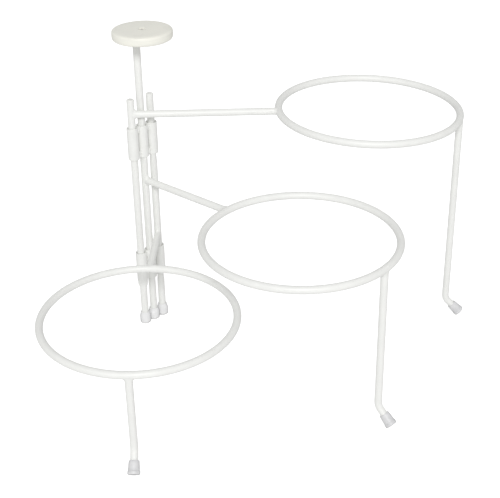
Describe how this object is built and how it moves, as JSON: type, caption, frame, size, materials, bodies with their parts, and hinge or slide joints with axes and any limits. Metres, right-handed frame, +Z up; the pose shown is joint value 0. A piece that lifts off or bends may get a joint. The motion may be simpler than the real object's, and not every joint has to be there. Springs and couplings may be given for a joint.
{
  "type": "tiered cake stand",
  "caption": "Swing-out tiered cake stand in white coated steel wire: rings on arms that turn on upright posts held side by side in sleeves, with outer legs and a topper disc.",
  "frame": {"origin": "on the table, at the centre of the middle post's foot cap", "axes": "+Z up; +Y along the row of posts, from the top tier's post to the bottom tier's post; +X out to the side the tiers fan over"},
  "size_m": [0.3651, 0.5154, 0.3578],
  "materials": {
    "white_coated_steel": "smooth satin white powder coat",
    "foot_cap_vinyl": "soft satin white vinyl",
    "topper_plastic": "satin off-white moulding",
    "screw_steel": "bright zinc plate"
  },
  "bodies": {
    "sleeve_blocks": {"top_post_lower_sleeve": "white_coated_steel", "middle_post_lower_sleeve": "white_coated_steel", "bottom_post_lower_sleeve": "white_coated_steel", "top_post_upper_sleeve": "white_coated_steel", "middle_post_upper_sleeve": "white_coated_steel", "bottom_post_upper_sleeve": "white_coated_steel"},
    "top_tier": {"top_post": "white_coated_steel", "top_arm": "white_coated_steel", "top_ring": "white_coated_steel", "top_leg": "white_coated_steel", "top_post_foot": "foot_cap_vinyl", "top_leg_foot": "foot_cap_vinyl"},
    "middle_tier": {"middle_post": "white_coated_steel", "middle_arm": "white_coated_steel", "middle_ring": "white_coated_steel", "middle_leg": "white_coated_steel", "middle_post_foot": "foot_cap_vinyl", "middle_leg_foot": "foot_cap_vinyl", "topper_tab": "white_coated_steel", "topper_disc": "topper_plastic", "topper_screw": "screw_steel"},
    "bottom_tier": {"bottom_post": "white_coated_steel", "bottom_arm": "white_coated_steel", "bottom_ring": "white_coated_steel", "bottom_leg": "white_coated_steel", "bottom_post_foot": "foot_cap_vinyl", "bottom_leg_foot": "foot_cap_vinyl"}
  },
  "joints": [
    {"name": "top_tier_swing", "type": "hinge", "parent": "sleeve_blocks", "child": "top_tier", "pos_m": [0, -0.0133, 0.15], "axis": [0, 0, 1], "range_deg": [-282, 0]},
    {"name": "middle_tier_swing", "type": "hinge", "parent": "sleeve_blocks", "child": "middle_tier", "pos_m": [0, 0, 0.15], "axis": [0, 0, 1], "range_deg": [-56, 46]},
    {"name": "bottom_tier_swing", "type": "hinge", "parent": "sleeve_blocks", "child": "bottom_tier", "pos_m": [0, 0.0133, 0.15], "axis": [0, 0, 1], "range_deg": [-5, 277]}
  ]
}
